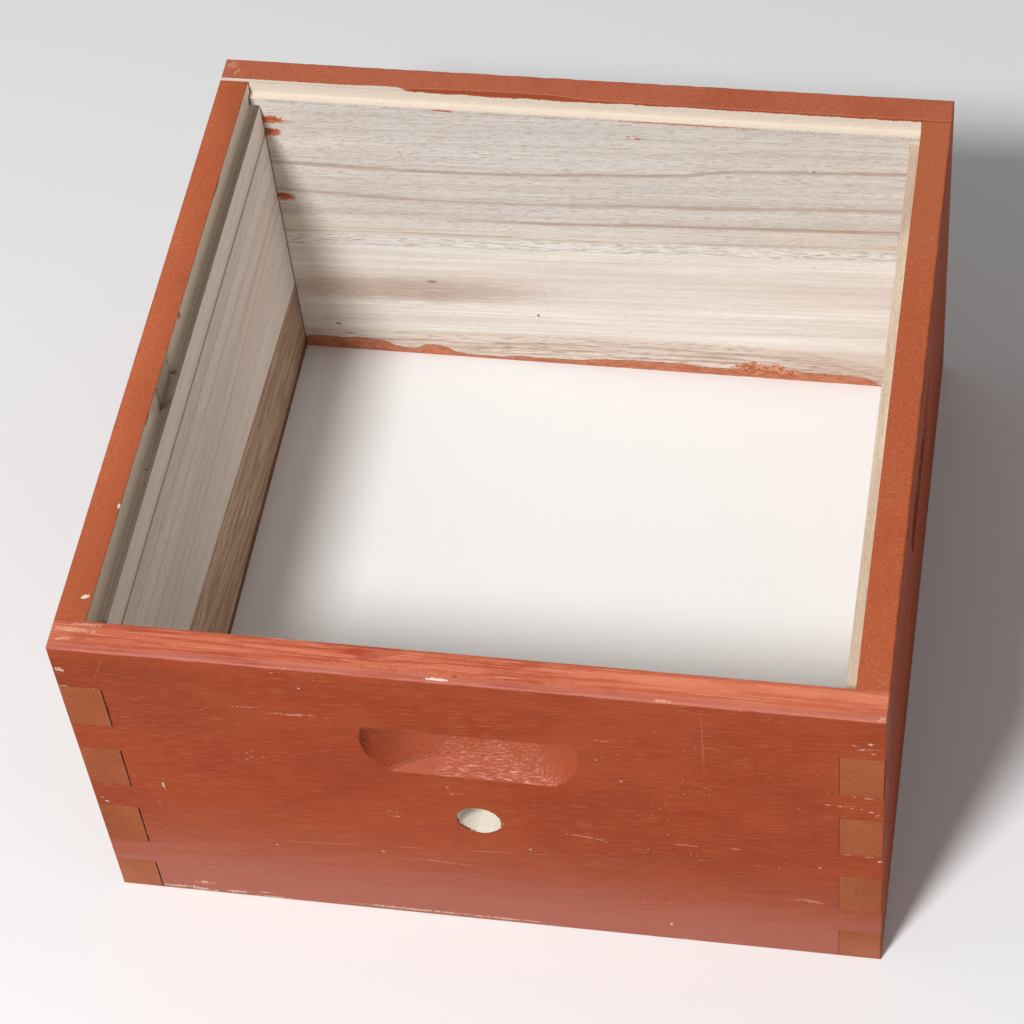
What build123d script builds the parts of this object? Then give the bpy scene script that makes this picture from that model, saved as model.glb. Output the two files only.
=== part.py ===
"""Square wooden hive box: four walls locked by comb joints at the corners.

Each wall is glued up from an upper and a lower board whose shared edge runs
slightly out of level, as in panels made from tapered planks. The box is open at
the top and at the bottom. X runs to the right, Y to the back and Z up, in
millimetres, and the origin is the middle of the box on the surface it stands on.
"""

import os
from math import cos, radians, sin, sqrt

from build123d import *

# Overall size of the box and the thickness of its walls
box_width = 430.0
box_depth = 432.0
box_height = 231.0
wall = 23.0

# Comb joint at the corners, counted down from the top edge
top_lap = 34.0  # front and back walls lap over the side walls at the top
side_finger = 35.0  # height of a side wall's finger, seen as end grain in front
end_finger = 21.5  # height of a front or back wall's finger between two of those
shortest_finger = 10.0  # a finger at the bottom that would be shorter is left out
finger_clearance = 0.1  # glue space on each face of a finger
shoulder_gap = 0.4  # open line beside a finger where the notch was cut too deep

# Rebates along the inner top edges
rest_width = 6.0  # ledge of the side walls, where the frames hang by their lugs
rest_drop = 14.5  # that ledge below the top edge
cover_width = 4.5  # ledge of the front and back walls, for an inner cover
cover_drop = 8.5

# Milled handhold, one in the middle of every wall
grip_drop = 47.0  # its ceiling below the top edge
grip_height = 40.0
grip_belly = 28.0  # height above its lower edge where it is longest
grip_length = 116.0
grip_top_length = 110.0
grip_bottom_length = 89.0
grip_depth = 14.5
grip_floor_slope = 30.0  # degrees that the sloping floor rises inwards

# Round flight hole in the front wall, below its handhold
hole_diameter = 24.0
hole_below_grip = 40.0  # centre of the hole below the handhold's lower edge

# Edges rounded by sanding after the walls were glued together
top_round = 1.2
bottom_round = 0.8
corner_round = 1.0

# Width of each wall's upper board at its two ends. The lower board makes up the height.
front_upper_left = 176.0
front_upper_right = 140.0
back_upper_left = 135.0
back_upper_right = 114.0
left_upper_front = 143.0
left_upper_back = 173.0
right_upper_front = 169.0
right_upper_back = 142.0

# Heights that follow from the sizes above
rest_level = box_height - rest_drop
cover_level = box_height - cover_drop
grip_top = box_height - grip_drop
grip_bottom = grip_top - grip_height
hole_level = grip_bottom - hole_below_grip

# Inner faces of the walls
inner_x = box_width / 2 - wall
inner_y = box_depth / 2 - wall

# Upper and lower ends of the side walls' fingers, from the top down
finger_pitch = side_finger + end_finger
first_finger_top = box_height - top_lap
finger_count = int((first_finger_top - shortest_finger) / finger_pitch) + 1
finger_tops = [first_finger_top - n * finger_pitch for n in range(finger_count)]
finger_spans = [(max(top - side_finger, 0), top) for top in finger_tops]

os.makedirs("parts", exist_ok=True)


# Outside of the glued box with its sanded edges, which trims every wall
with BuildPart() as sanded_outside:
    with BuildSketch() as plan:
        RectangleRounded(box_width, box_depth, corner_round)
    extrude(amount=box_height)
    for upright, width in ((Plane.XZ, box_width), (Plane.YZ, box_depth)):
        with BuildSketch(upright) as elevation:
            with Locations((0, box_height / 2)):
                Rectangle(width, box_height)
            rims = elevation.vertices().group_by(Axis.Z)
            fillet(rims[-1], top_round)
            fillet(rims[0], bottom_round)
        extrude(amount=max(box_width, box_depth), both=True, mode=Mode.INTERSECT)


# Swept shape of the handhold cutter, entering a wall whose outer face is at Y = 0.
# It turns about an upright axis that stands outside the wall.
cutter_axis = ((grip_length / 2) ** 2 - grip_depth**2) / (2 * grip_depth)


def cutter_radius(length):
    """Radius that leaves a cut of this length in the wall's outer face."""
    return sqrt(cutter_axis**2 + (length / 2) ** 2)


slope = radians(grip_floor_slope)
with BuildPart() as grip_cutter:
    with BuildSketch(Plane.XZ.offset(cutter_axis)) as half_section:
        with BuildLine() as rim:
            belly = ThreePointArc(
                (cutter_radius(grip_bottom_length), grip_bottom),
                (cutter_radius(grip_length), grip_bottom + grip_belly),
                (cutter_radius(grip_top_length), grip_top),
            )
            Polyline(belly @ 1, (0, grip_top), (0, grip_bottom), belly @ 0)
        make_face()
    revolve(axis=Axis((0, -cutter_axis, 0), (0, 0, 1)))
    sloping_floor = Plane((0, 0, grip_bottom), x_dir=(1, 0, 0), z_dir=(0, -sin(slope), cos(slope)))
    split(bisect_by=sloping_floor, keep=Keep.TOP)


# Front and back walls are alike: full width at their own fingers and at the top lap,
# notched at both ends for the side walls' fingers, with the cover rebate inside. The
# rebate's ends are a hair deeper, as glue space under the side walls' tongues.
with BuildPart() as end_wall:
    with BuildSketch(Plane.XZ.offset(inner_y)) as face:
        with Locations((0, box_height / 2)):
            Rectangle(box_width, box_height)
        for bottom, top in finger_spans:
            for end in (-1, 1):
                notch = wall + shoulder_gap
                with Locations((end * (box_width - notch) / 2, (bottom + top) / 2)):
                    Rectangle(notch, top - bottom, mode=Mode.SUBTRACT)
    extrude(amount=wall)
    with BuildSketch(Plane.XY.offset(cover_level)) as cover_rebate:
        with Locations((0, -inner_y - cover_width / 2)):
            Rectangle(box_width, cover_width)
    extrude(amount=cover_drop, mode=Mode.SUBTRACT)
    housing_length = wall - rest_width + finger_clearance
    with BuildSketch(Plane.XY.offset(cover_level - finger_clearance)) as tongue_housings:
        for end in (-1, 1):
            with Locations((end * (box_width - housing_length) / 2, -inner_y - cover_width / 2)):
                Rectangle(housing_length, cover_width)
    extrude(amount=cover_drop + finger_clearance, mode=Mode.SUBTRACT)
    with Locations((0, -box_depth / 2, 0)):
        add(grip_cutter.part, mode=Mode.SUBTRACT)
    add(sanded_outside.part, mode=Mode.INTERSECT)


# Side walls are alike: they stand between the front and back walls, reach through
# them at the fingers, close the ends of the cover rebate with short tongues and carry
# the frame rest.
with BuildPart() as side_wall:
    with BuildSketch(Plane.YZ.offset(-box_width / 2)) as face:
        with Locations((0, box_height / 2)):
            Rectangle(2 * inner_y, box_height)
        for bottom, top in finger_spans:
            low = bottom + finger_clearance if bottom > 0 else 0
            high = top - finger_clearance
            with Locations((0, (low + high) / 2)):
                Rectangle(box_depth, high - low)
        with Locations((0, box_height - cover_drop / 2)):
            Rectangle(2 * (inner_y + cover_width - finger_clearance), cover_drop)
    extrude(amount=wall)
    with BuildSketch(Plane.XY.offset(rest_level)) as frame_rest:
        with Locations((-inner_x - rest_width / 2, 0)):
            Rectangle(rest_width, box_depth)
    extrude(amount=rest_drop, mode=Mode.SUBTRACT)
    with Locations(Location((-box_width / 2, 0, 0), (0, 0, -90))):
        add(grip_cutter.part, mode=Mode.SUBTRACT)
    add(sanded_outside.part, mode=Mode.INTERSECT)


# The front wall also has the flight hole.
with BuildPart() as front_wall:
    add(end_wall.part)
    with Locations(Plane((0, -box_depth / 2, hole_level), x_dir=(1, 0, 0), z_dir=(0, -1, 0))):
        Hole(hole_diameter / 2, depth=wall)

with BuildPart() as back_wall:
    mirror(end_wall.part, about=Plane.XZ)

with BuildPart() as right_wall:
    mirror(side_wall.part, about=Plane.YZ)


def glue_line(along, length, start_width, end_width):
    """Plane that parts a wall below an upper board of these widths at its two ends."""
    direction = along * length + Vector(0, 0, start_width - end_width)
    across = Vector(0, 0, 1).cross(along)
    middle = box_height - (start_width + end_width) / 2
    return Plane((0, 0, middle), x_dir=direction, z_dir=direction.cross(across))


along_x = Vector(1, 0, 0)
along_y = Vector(0, 1, 0)
walls = {
    "front": (front_wall, glue_line(along_x, box_width, front_upper_left, front_upper_right)),
    "back": (back_wall, glue_line(along_x, box_width, back_upper_left, back_upper_right)),
    "left": (side_wall, glue_line(along_y, box_depth, left_upper_front, left_upper_back)),
    "right": (right_wall, glue_line(along_y, box_depth, right_upper_front, right_upper_back)),
}

# Every wall is parted at its glue line into the two boards it was glued up from.
for side, (whole, seam) in walls.items():
    for level, keep in (("upper", Keep.TOP), ("lower", Keep.BOTTOM)):
        with BuildPart() as board:
            add(whole.part)
            split(bisect_by=seam, keep=keep)
        board.part.label = f"{side}_{level}_board"
        export_step(board.part, f"parts/{board.part.label}.step")
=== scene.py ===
from math import atan, hypot, radians, tan

import bpy
from mathutils import Matrix, Vector


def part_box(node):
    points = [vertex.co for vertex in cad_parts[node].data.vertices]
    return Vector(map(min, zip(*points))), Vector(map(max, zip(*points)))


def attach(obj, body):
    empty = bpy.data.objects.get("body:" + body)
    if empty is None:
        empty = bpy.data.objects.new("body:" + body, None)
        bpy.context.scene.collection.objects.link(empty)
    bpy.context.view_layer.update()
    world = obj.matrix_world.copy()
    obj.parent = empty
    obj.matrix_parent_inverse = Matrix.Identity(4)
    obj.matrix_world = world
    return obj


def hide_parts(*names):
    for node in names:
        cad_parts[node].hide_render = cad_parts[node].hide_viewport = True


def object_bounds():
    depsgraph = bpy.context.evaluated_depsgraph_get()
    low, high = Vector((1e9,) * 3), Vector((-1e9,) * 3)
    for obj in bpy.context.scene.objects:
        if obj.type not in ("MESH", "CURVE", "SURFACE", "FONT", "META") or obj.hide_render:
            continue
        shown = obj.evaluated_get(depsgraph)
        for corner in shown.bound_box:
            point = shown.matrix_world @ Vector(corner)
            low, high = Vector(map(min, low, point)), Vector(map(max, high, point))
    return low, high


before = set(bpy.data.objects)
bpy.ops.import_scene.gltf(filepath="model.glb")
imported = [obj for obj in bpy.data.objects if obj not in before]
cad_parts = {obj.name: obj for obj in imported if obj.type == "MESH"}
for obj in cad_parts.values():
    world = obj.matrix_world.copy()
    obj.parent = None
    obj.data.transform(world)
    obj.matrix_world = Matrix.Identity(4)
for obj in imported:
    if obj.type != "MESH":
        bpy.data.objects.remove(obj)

cad_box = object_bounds()


# Left wall: two planks of pale, light wood glued edge to edge into one panel. It was
# notched at both ends into fingers, rebated inside for the frames and milled outside
# for a hand, and then painted red outside and on the rim, with the inside left bare.
MM = 0.001
half_width = cad_box[1].x / MM
half_depth = cad_box[1].y / MM
height = cad_box[1].z / MM
inner_x = -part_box("left_upper_board")[1].x / MM
inner_y = -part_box("front_upper_board")[1].y / MM
frame_rest = 6.0
frame_rest_level = height - 14.5
cover_rest = 4.5
cover_rest_level = height - 8.5
top_rounding = 1.3
bottom_rounding = 0.9
corner_rounding = 1.1
shoulder = inner_x - 0.4
grip_bottom = 144.0
grip_top = 184.0
grip_half_length = 59.0
grip_depth = 14.6
grip_floor_slope = 30.0
slice_step = 4.0
sliced_reach = 186.0
eased_edge = 0.5
eased_grip = 0.4
rubbed_depth = 0.35
rubbed_spot = 9.0
paint_gloss = 0.05
dull_paint_gloss = 0.02
bare_gloss = 0.2
end_grain_gloss = 0.12


def sawn_board(node):
    """Starts a board from its solid, with the points merged and flat faces in one piece."""
    board = bpy.data.objects.new(node + "_finished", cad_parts[node].data.copy())
    board.data.materials.clear()
    bpy.context.scene.collection.objects.link(board)
    bpy.ops.object.select_all(action="DESELECT")
    board.select_set(True)
    bpy.context.view_layer.objects.active = board
    bpy.ops.mesh.customdata_custom_splitnormals_clear()
    bpy.ops.object.mode_set(mode="EDIT")
    bpy.ops.mesh.select_all(action="SELECT")
    bpy.ops.mesh.remove_doubles(threshold=0.005 * MM)
    bpy.ops.mesh.dissolve_limited(angle_limit=radians(0.2))
    bpy.ops.object.mode_set(mode="OBJECT")
    return board


def select_edges(board, wanted):
    """Goes into edit mode with those edges selected whose two ends both meet a test."""
    bpy.ops.object.mode_set(mode="EDIT")
    bpy.ops.mesh.select_mode(type="EDGE")
    bpy.ops.mesh.select_all(action="DESELECT")
    bpy.ops.object.mode_set(mode="OBJECT")
    points = board.data.vertices
    for edge in board.data.edges:
        edge.select = all(wanted(*(points[end].co / MM)) for end in edge.vertices)
    bpy.ops.object.mode_set(mode="EDIT")


def ease(board, width, wanted):
    """Rounds the chosen edges, as sandpaper and handling do."""
    select_edges(board, wanted)
    bpy.ops.mesh.bevel(offset=width * MM, segments=2, affect="EDGES", clamp_overlap=True)
    bpy.ops.object.mode_set(mode="OBJECT")


def near(value, place):
    return abs(value - place) < 0.02


def at_one_of(spots, *place):
    return any((Vector(place) - spot).length < 0.02 for spot in spots)


def split_edges(board, cuts, wanted):
    """Puts points on the chosen edges, one edge after another, and returns the edges' ends."""
    points = board.data.vertices
    chosen = []
    for edge in board.data.edges:
        ends = [points[end].co / MM for end in edge.vertices]
        if all(wanted(*end) for end in ends):
            chosen.append(ends)
    for ends in chosen:
        select_edges(board, lambda *place: at_one_of(ends, *place))
        bpy.ops.mesh.subdivide(number_cuts=cuts)
        bpy.ops.object.mode_set(mode="OBJECT")
    return [end for ends in chosen for end in ends]


def slice_board(board, axis):
    """Cuts a board across its length into short faces, so that its edges can be dented."""
    normal = Vector(float(axis == n) for n in range(3))
    count = round(2 * sliced_reach / slice_step)
    bpy.ops.object.mode_set(mode="EDIT")
    for step in range(count + 1):
        place = 2 * sliced_reach * step / count - sliced_reach
        bpy.ops.mesh.select_all(action="SELECT")
        bpy.ops.mesh.bisect(plane_co=normal * place * MM, plane_no=normal)
    bpy.ops.object.mode_set(mode="OBJECT")


def wear(board, depth, spot, share):
    """Sinks points unevenly by at most this depth, each by its own share from 0 to 1."""
    group = board.vertex_groups.new(name="worn")
    for point in board.data.vertices:
        weight = share(*(point.co / MM))
        if weight > 0:
            group.add([point.index], min(weight, 1.0), "REPLACE")
    rubbing = bpy.data.textures.new("rubbing", "CLOUDS")
    rubbing.noise_scale = spot * MM
    rubbing.contrast = 2.0
    rubbing.use_clamp = True
    sink = board.modifiers.new("wear", "DISPLACE")
    sink.texture = rubbing
    sink.texture_coords = "LOCAL"
    sink.mid_level = 0.0
    sink.strength = -depth * MM
    sink.vertex_group = group.name
    bpy.ops.object.modifier_apply(modifier=sink.name)
    board.vertex_groups.remove(board.vertex_groups["worn"])


def rubbed_rounding(depth, along, z):
    """How far a place on a wall's rounded outer edges is rubbed, fading out at the corners."""
    clear_of_corner = (sliced_reach - abs(along)) / 20
    on_top = depth < top_rounding - 0.2 and z > height - top_rounding + 0.2
    at_foot = depth < bottom_rounding - 0.2 and z < bottom_rounding - 0.2
    return clear_of_corner if on_top or at_foot else 0.0


def in_grip_outline(along, z):
    return abs(along) < grip_half_length and grip_bottom - 0.1 < z < grip_top + 0.1


class Finish:
    """A finish on wood, laid up in layers on the box's own places in millimetres."""

    def __init__(self, name, run, tilt=0.0):
        self.run = run
        self.tilt = tilt
        self.material = bpy.data.materials.new(name)
        self.material.use_nodes = True
        self.tree = self.material.node_tree
        self.surface = self.tree.nodes["Principled BSDF"]
        coordinates = self.add("ShaderNodeTexCoord")
        self.place = self.tint(coordinates.outputs["Object"], 1 / MM)
        self.x, self.y, self.z = self.add("ShaderNodeSeparateXYZ", self.place).outputs
        self.along, outward, reach = self.x, self.y, half_depth
        if run == "y":
            self.along, outward, reach = self.y, self.x, half_width
        self.depth = self.math("SUBTRACT", reach, self.size(outward))
        self.level = self.math("SUBTRACT", self.z, self.times(self.along, tan(tilt)))
        self.wall_face = self.add("ShaderNodeCombineXYZ", self.along, self.z).outputs[0]
        self.rim_face = self.add("ShaderNodeCombineXYZ", self.x, self.y).outputs[0]
        self.torn = self.spots((1.3, 1.3, 1.3), 9)

    def feed(self, socket, value):
        """Links another node's output to an input, or sets the input to a value."""
        if isinstance(value, bpy.types.NodeSocket):
            self.tree.links.new(value, socket)
        else:
            socket.default_value = value

    def add(self, kind, *inputs, **settings):
        """Adds a node, with its first inputs linked or set in order."""
        node = self.tree.nodes.new(kind)
        for name, value in settings.items():
            setattr(node, name, value)
        for socket, value in zip(node.inputs, inputs):
            self.feed(socket, value)
        return node

    def math(self, operation, first, *others):
        """Joins any number of values by one operation."""
        for other in others:
            first = self.add("ShaderNodeMath", first, other, operation=operation).outputs[0]
        return first

    def times(self, *values):
        return self.math("MULTIPLY", *values)

    def rest_of(self, share):
        return self.math("SUBTRACT", 1.0, share)

    def size(self, value):
        """A value without its sign."""
        return self.add("ShaderNodeMath", value, operation="ABSOLUTE").outputs[0]

    def fraction(self, value):
        """What a value has above a whole number."""
        return self.add("ShaderNodeMath", value, operation="FRACT").outputs[0]

    def away_from(self, value, middle):
        return self.size(self.math("SUBTRACT", value, middle))

    def scale(self, value, start, end, low=0.0, high=1.0):
        """Goes evenly from low at start to high at end, and no further."""
        return self.add("ShaderNodeMapRange", value, start, end, low, high).outputs[0]

    def fade(self, value, start, end, low=0.0, high=1.0):
        """Goes smoothly from low at start to high at end, and no further."""
        node = self.add("ShaderNodeMapRange", value, start, end, low, high)
        node.interpolation_type = "SMOOTHSTEP"
        return node.outputs[0]

    def between(self, value, low, high, soft):
        """One between two places, fading out over a soft width beyond them."""
        return self.times(self.fade(value, low - soft, low), self.fade(value, high + soft, high))

    def profile(self, value, stops):
        """A smooth line through (place, height) stops, read off at a value."""
        places, heights = zip(*stops)
        node = self.add("ShaderNodeFloatCurve", 1.0, self.scale(value, places[0], places[-1]))
        points = node.mapping.curves[0].points
        while len(points) < len(stops):
            points.new(0.5, 0.5)
        low, high = min(heights), max(heights)
        for point, place, level in zip(points, places, heights):
            share = (place - places[0]) / (places[-1] - places[0])
            point.location = (share, (level - low) / (high - low))
        node.mapping.update()
        return self.scale(node.outputs[0], 0.0, 1.0, low, high)

    def mapped(self, vector, centre, size, turn):
        """A place counted from a centre in units of a size along each axis, turned."""
        node = self.add("ShaderNodeMapping", vector, centre, turn, size, vector_type="TEXTURE")
        return node.outputs[0]

    def spots(self, size, seed, detail=2.0, turn=(0.0, 0.0, 0.0)):
        """Cloudy spots of this size in millimetres, as a value about a half."""
        centre = (seed * 71.0, seed * 37.0, seed * 53.0)
        node = self.add("ShaderNodeTexNoise", self.mapped(self.place, centre, size, turn))
        node.inputs["Scale"].default_value = 1.0
        node.inputs["Detail"].default_value = detail
        node.inputs["Roughness"].default_value = 0.55
        return node.outputs[0]

    def grain(self, length, thickness, seed, detail=2.0):
        """Streaks of this length and thickness that follow the grain."""
        if self.run == "x":
            return self.spots((length, thickness, thickness), seed, detail, (0.0, -self.tilt, 0.0))
        return self.spots((thickness, length, thickness), seed, detail, (self.tilt, 0.0, 0.0))

    def sway(self, value, noise, reach):
        """A value shifted to and fro by a noise, by up to about this reach."""
        return self.math("ADD", value, self.scale(noise, 0.25, 0.75, -reach, reach))

    def distance(self, face, across, up, half_length, half_height, turn=0.0):
        """Goes from 0 in the middle of an oval on a face to 1 at its edge, and on beyond it."""
        size = (half_length, half_height, 1.0)
        spot = self.mapped(face, (across, up, 0.0), size, (0.0, 0.0, radians(turn)))
        return self.add("ShaderNodeVectorMath", spot, operation="LENGTH").outputs["Value"]

    def marks(self, face, blots, ragged=0.5):
        """Ragged oval marks (across, up, half length, half height, turn in degrees) on a face."""
        nearest = self.math("MINIMUM", *(self.distance(face, *blot) for blot in blots))
        return self.fade(self.sway(nearest, self.torn, ragged), 1.05, 0.75)

    def stain(self, face, blot, noise):
        """A soft oval stain on a face, with its edges drawn out by a noise."""
        return self.fade(self.sway(self.distance(face, *blot), noise, 0.5), 1.2, 0.3)

    def blend(self, amount, under, over):
        """Lays one colour over another by an amount."""
        node = self.add("ShaderNodeMix", data_type="RGBA", clamp_factor=True)
        self.feed(node.inputs["Factor"], amount)
        below, above = [socket for socket in node.inputs if socket.type == "RGBA"]
        self.feed(below, under)
        self.feed(above, over)
        return next(socket for socket in node.outputs if socket.type == "RGBA")

    def tint(self, colour, brightness):
        """Multiplies a colour, or a place, by one number."""
        node = self.add("ShaderNodeVectorMath", colour, operation="SCALE")
        self.feed(node.inputs["Scale"], brightness)
        return node.outputs[0]

    def lay(self, amount, colour, roughness=None):
        """Lays a colour over what is there by an amount, with its own roughness."""
        self.colour = self.blend(amount, self.colour, colour)
        if roughness is not None:
            change = self.times(amount, self.math("SUBTRACT", roughness, self.roughness))
            self.roughness = self.math("ADD", self.roughness, change)

    def shade(self, brightness):
        self.colour = self.tint(self.colour, brightness)

    def close(self, gloss):
        """Ends the finish, whose relief is in millimetres, with the gloss of its surface."""
        self.feed(self.surface.inputs["Base Color"], self.colour)
        self.feed(self.surface.inputs["Roughness"], self.roughness)
        self.surface.inputs["Specular IOR Level"].default_value = gloss
        bump = self.add("ShaderNodeBump")
        bump.inputs["Distance"].default_value = MM
        self.feed(bump.inputs["Height"], self.relief)
        self.feed(self.surface.inputs["Normal"], bump.outputs[0])
        return self.material


def seen(red, green, blue):
    """A colour as the eye reads it, from 0 to 255, in the linear values of light."""
    return (*(((c / 255 + 0.055) / 1.055) ** 2.4 for c in (red, green, blue)), 1.0)


dark_brick = seen(145, 60, 31)
brick_red = seen(157, 70, 38)
faded_brick = seen(188, 106, 77)
faded_rim = seen(208, 126, 96)
rubbed_edge_and_highlight = seen(186, 108, 86)
bare_fleck = seen(228, 208, 192)
pit_and_shade = seen(92, 40, 20)
crackle = seen(232, 178, 160)


def red_paint(name, run, tilt, rim, seed):
    """Satin brick red brushed thinly over planed wood, so that the grain shows through."""
    paint = Finish(name, run, tilt)
    clouds = paint.spots((75.0, 75.0, 50.0), seed + 1, 3.0)
    brush = paint.grain(85.0, 2.2, seed + 2, 3.0)
    veins = paint.grain(40.0, 0.9, seed + 3)
    hairs = paint.grain(13.0, 0.45, seed + 4)
    speckle = paint.spots((1.0, 1.0, 1.0), seed + 5)
    paint.colour = paint.blend(paint.fade(clouds, 0.3, 0.7), dark_brick, brick_red)
    paint.shade(paint.scale(brush, 0.25, 0.75, 0.94, 1.06))
    paint.shade(paint.fade(veins, 0.4, 0.75, 1.03, 0.9))
    paint.roughness = paint.scale(brush, 0.3, 0.7, 0.44, 0.54)
    thin = paint.fade(paint.spots((60.0, 60.0, 30.0), seed + 6), 0.35, 0.65, 0.5, 1.0)
    paint.lay(paint.times(paint.fade(hairs, 0.55, 0.76), thin), faded_brick)

    # The rim, where sun and hands have made the paint paler, and its rounded outer edge, which is rubbed and
    # also carries a painted highlight.
    paint.on_rim = paint.fade(paint.z, height - 0.8, height - 0.2)
    mottling = paint.spots((1.5, 1.5, 1.5), seed + 13, 3.0)
    paint.lay(paint.on_rim, rim)
    paint.lay(paint.times(paint.on_rim, paint.fade(clouds, 0.5, 0.34, 0.0, 0.25)), brick_red)
    paint.lay(paint.times(paint.on_rim, paint.fade(mottling, 0.54, 0.36, 0.0, 0.25)), brick_red)
    paint.lay(paint.times(paint.on_rim, paint.fade(mottling, 0.52, 0.7, 0.0, 0.25)), faded_rim)
    paint.shade(paint.scale(speckle, 0.3, 0.7, 0.89, 1.11))
    edge = paint.times(paint.fade(paint.z, height - 1.3, height - 0.8), paint.rest_of(paint.on_rim))
    paint.lay(paint.times(edge, paint.fade(brush, 0.35, 0.65, 0.0, 0.4)), rubbed_edge_and_highlight, 0.5)

    # The milled handhold: its back is stippled at one end, which is darkened by painted shade
    # with a near-black painted shadow at its tip, smooth at the other and crackled along the grain
    # between them, mostly low down, where the cutter tore the wood.
    in_cut = paint.fade(paint.depth, 0.25, 0.6)
    hollow = paint.times(in_cut, paint.between(paint.z, grip_bottom, grip_top, 3.0))
    rise = paint.math("SUBTRACT", paint.z, paint.times(paint.depth, tan(radians(grip_floor_slope))))
    on_floor = paint.times(hollow, paint.fade(rise, grip_bottom + 0.8, grip_bottom + 0.2))
    on_back = paint.times(hollow, paint.rest_of(on_floor))
    middle = paint.fade(paint.away_from(paint.along, 0.0), 60.0, 20.0)
    stipple = paint.spots((1.0, 1.0, 1.0), seed + 7, 1.0)
    paint.lay(paint.times(on_floor, paint.fade(stipple, 0.3, 0.7, 0.45, 0.75)), seen(174, 94, 71))
    paint.lay(paint.times(on_back, middle, 0.25), seen(204, 118, 92))
    rough = paint.times(on_back, paint.fade(paint.along, 46.0, 34.0))
    shaded_end = paint.times(on_back, paint.fade(paint.along, -24.0, -60.0))
    paint.lay(paint.times(shaded_end, paint.fade(stipple, 0.4, 0.6, 0.0, 0.45)), pit_and_shade, 0.8)
    shadowed_tip = paint.times(on_back, paint.fade(paint.along, -51.0, -57.0))
    paint.lay(paint.times(shadowed_tip, paint.fade(stipple, 0.35, 0.6, 0.2, 0.8)), seen(58, 26, 14), 0.9)
    paint.lay(paint.times(rough, paint.fade(stipple, 0.46, 0.32, 0.0, 0.3)), pit_and_shade)
    pale_stipple = paint.times(rough, paint.fade(paint.along, -40.0, 20.0))
    paint.lay(paint.times(pale_stipple, paint.fade(stipple, 0.54, 0.7, 0.0, 0.18)), crackle)
    smooth_end = paint.times(on_back, paint.fade(paint.along, 36.0, 46.0))
    paint.lay(paint.times(smooth_end, 0.4), seen(168, 78, 50))
    at_floor = paint.times(hollow, paint.between(rise, grip_bottom + 1.0, grip_bottom + 1.2, 0.5))
    cracks = paint.grain(16.0, 0.4, seed + 8)
    paint.lay(paint.times(at_floor, paint.fade(cracks, 0.45, 0.6, 0.0, 0.25)), crackle)
    more_below = paint.scale(paint.z, grip_bottom + 30.0, grip_bottom + 2.0, -0.07, 0.04)
    torn_cracks = paint.fade(paint.math("ADD", cracks, more_below), 0.58, 0.7, 0.0, 0.7)
    cracked = paint.times(hollow, paint.between(paint.along, -10.0, 40.0, 14.0))
    paint.lay(paint.times(cracked, torn_cracks), crackle, 0.6)
    fine_relief = paint.math("ADD", paint.times(hairs, 0.08), paint.times(brush, 0.1))
    torn_relief = paint.math("ADD", paint.times(rough, stipple, 0.3), paint.times(cracked, cracks, 0.2))
    paint.relief = paint.math("ADD", fine_relief, torn_relief)

    # A few flecks knocked down to the wood, and flaking along the foot.
    rough_patch = paint.fade(paint.spots((45.0, 45.0, 30.0), seed + 10), 0.56, 0.66)
    flecks = paint.fade(paint.grain(2.4, 0.8, seed + 11, 0.0), 0.78, 0.82)
    paint.lay(paint.times(flecks, rough_patch, 0.6), bare_fleck, 0.7)
    foot = paint.fade(paint.z, 4.5, 1.0)
    flakes = paint.fade(paint.spots((14.0, 14.0, 2.0), seed + 12), 0.6, 0.66, 0.0, 0.8)
    paint.lay(paint.times(foot, flakes), bare_fleck, 0.7)
    return paint


heart_across = 170.0
heart_level = 60.0
ring_spacing = 5.0


def painted_end_grain(name, run, seed):
    """Sawn finger ends, which drank the paint and dried matt and browner, with rings showing."""
    ends = Finish(name, run)
    pores = ends.spots((1.0, 1.0, 1.0), seed + 1)
    clouds = ends.spots((30.0, 30.0, 40.0), seed + 2)
    across = ends.math("SUBTRACT", ends.size(ends.x if run == "y" else ends.y), heart_across)
    up = ends.math("SUBTRACT", ends.z, heart_level)
    squares = ends.math("ADD", ends.times(across, across), ends.times(up, up))
    wander = ends.spots((22.0, 22.0, 22.0), seed + 3)
    radius = ends.sway(ends.math("POWER", squares, 0.5), wander, 9.0)
    ring = ends.fraction(ends.times(radius, 1 / ring_spacing))
    ends.colour = ends.blend(ends.fade(clouds, 0.3, 0.7), seen(145, 75, 42), seen(157, 86, 51))
    ends.shade(ends.fade(ring, 0.3, 0.95, 1.05, 0.94))
    ends.shade(ends.scale(pores, 0.3, 0.7, 0.82, 1.2))
    # Towards the foot the ends are painted paler and pinker, a painted reflection of the pale ground.
    ends.colour = ends.blend(ends.fade(ends.z, 36.0, 6.0, 0.0, 0.35), ends.colour, seen(184, 118, 94))
    ends.roughness = 0.68
    ends.relief = ends.times(pores, 0.15)
    return ends.close(end_grain_gloss)


joint_dirt = seen(56, 34, 25)
joint_paint = seen(122, 58, 36)


def bare_wood(name, run, tilt, pale, brown, pore, seed, pore_share=0.5):
    """Planed bare wood: broad bands, long streaks, fine fibres and short dark pores."""
    wood = Finish(name, run, tilt)
    bands = wood.grain(280.0, 15.0, seed + 1)
    streaks = wood.grain(130.0, 2.4, seed + 2, 3.0)
    fibres = wood.grain(34.0, 0.7, seed + 3)
    pores = wood.grain(5.0, 0.36, seed + 4, 1.0)
    mix = wood.math("ADD", wood.times(bands, 0.45), wood.times(streaks, 0.55))
    wood.colour = wood.blend(wood.fade(mix, 0.32, 0.68), pale, brown)
    wood.shade(wood.scale(fibres, 0.25, 0.75, 0.93, 1.07))
    wood.roughness = 0.75
    wood.relief = wood.times(fibres, 0.1)
    wood.lay(wood.fade(pores, 0.5, 0.7, 0.0, pore_share), pore)
    return wood


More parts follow.
